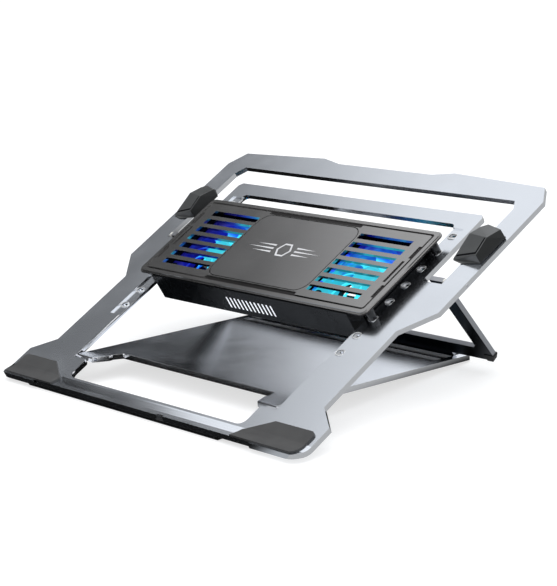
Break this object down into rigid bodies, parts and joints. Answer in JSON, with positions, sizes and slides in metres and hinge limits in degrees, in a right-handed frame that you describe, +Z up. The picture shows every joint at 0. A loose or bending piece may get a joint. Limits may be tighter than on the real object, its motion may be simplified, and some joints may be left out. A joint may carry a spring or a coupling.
{
  "type": "laptop cooling pad",
  "caption": "Folding metal laptop stand: a tilted open deck with rubber stops, a hinged base and rear leg, and a fan module that blows up through its grilles.",
  "frame": {"origin": "centre of the bounding box's bottom face, on the table", "axes": "+X across the deck to the right as seen from the front lip, +Y from the front lip to the raised back, +Z up"},
  "size_m": [0.2802, 0.2098, 0.1009],
  "materials": {
    "deck_plate": "satin",
    "base_metal": "satin",
    "leg_metal": "satin",
    "pad_rubber": "matte",
    "sole_rubber": "matte",
    "steel": "satin",
    "nylon": "matte",
    "cover_grey": "satin",
    "panel_grey": "satin",
    "print_white": "matte",
    "tray_black": "gloss",
    "slit_light": "satin",
    "fan_black": "matte",
    "blade_blue": "translucent gloss",
    "winding": "satin",
    "bronze": "satin",
    "board_green": "satin",
    "socket_metal": "gloss"
  },
  "bodies": {
    "deck": {"deck_frame": "deck_plate", "front_pad_left": "pad_rubber", "front_pad_right": "pad_rubber", "rail_block_left": "pad_rubber", "rail_block_right": "pad_rubber", "front_rubber_strip": "sole_rubber", "base_pin_left": "steel", "base_pin_right": "steel", "leg_pin_left": "steel", "leg_pin_right": "steel", "leg_washers": "nylon", "fan_cover": "cover_grey", "badge_panel": "panel_grey", "panel_ornament": "print_white", "fan_tray": "tray_black", "light_slits": "slit_light", "fan_frame_left": "fan_black", "fan_frame_right": "fan_black", "motor_left": "winding", "motor_right": "winding", "bearing_left": "bronze", "bearing_right": "bronze", "led_board_left": "board_green", "led_board_right": "board_green", "control_board": "board_green", "usb_socket": "socket_metal", "standoffs": "fan_black", "module_screws": "steel", "cover_screws": "steel", "fan_screws": "steel"},
    "base": {"base_plate": "base_metal", "base_rubber_pads": "sole_rubber"},
    "leg": {"rear_leg": "leg_metal", "leg_cap_left": "sole_rubber", "leg_cap_right": "sole_rubber"},
    "fan_left": {"impeller_left": "blade_blue", "shaft_left": "steel"},
    "fan_right": {"impeller_right": "blade_blue", "shaft_right": "steel"}
  },
  "joints": [
    {"name": "leg_fold", "type": "hinge", "parent": "deck", "child": "leg", "pos_m": [0, 0.02585, 0.06231], "axis": [1, 0, 0], "range_deg": [0, 82]},
    {"name": "base_fold", "type": "hinge", "parent": "deck", "child": "base", "pos_m": [0, -0.0756, 0.01414], "axis": [1, 0, 0], "range_deg": [0, 16.4]},
    {"name": "fan_left_spin", "type": "hinge", "parent": "deck", "child": "fan_left", "pos_m": [-0.06775, 0.01752, 0.06002], "axis": [0, -0.4289, 0.9033], "continuous": true},
    {"name": "fan_right_spin", "type": "hinge", "parent": "deck", "child": "fan_right", "pos_m": [0.06775, 0.01752, 0.06002], "axis": [0, -0.4289, 0.9033], "continuous": true}
  ],
  "couplings": [
    {"joint": "base_fold", "follows": "leg_fold", "ratio": 0.2}
  ]
}
